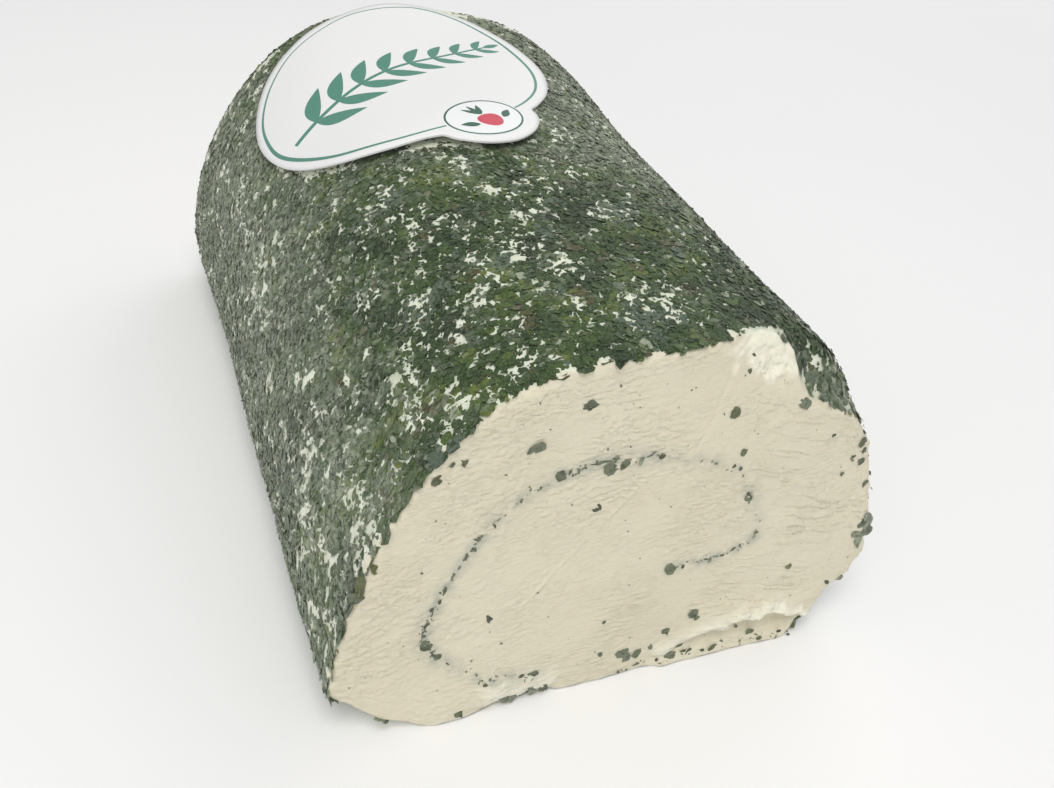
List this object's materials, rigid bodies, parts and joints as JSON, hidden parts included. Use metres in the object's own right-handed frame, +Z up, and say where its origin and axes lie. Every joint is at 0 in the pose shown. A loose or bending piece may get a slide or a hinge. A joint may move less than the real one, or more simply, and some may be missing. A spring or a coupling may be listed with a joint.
{
  "type": "herbed cheese roll",
  "caption": "D-shaped log of soft white cheese rolled round a thin herb layer, coated in dried herb flakes and cut across in front, with a die-cut card label on its crown.",
  "frame": {"origin": "middle of the flat base of the object's box", "axes": "+Y along the roll, away from the cut face; +Z up, from the base to the crown; +X to the right, seen from the cut face"},
  "size_m": [0.1494, 0.198, 0.095],
  "materials": {
    "cheese": "soft, moist, matt cream",
    "herb_coat": "matt dried herb flakes, slightly damp",
    "herb_layer": "damp herb flakes smeared with cheese",
    "label_card": "smooth white card",
    "label_ink": "flat printing ink"
  },
  "bodies": {
    "root": {"cheese_roll": "cheese", "herb_layer": "herb_layer", "card_label": "label_card"}
  },
  "joints": []
}
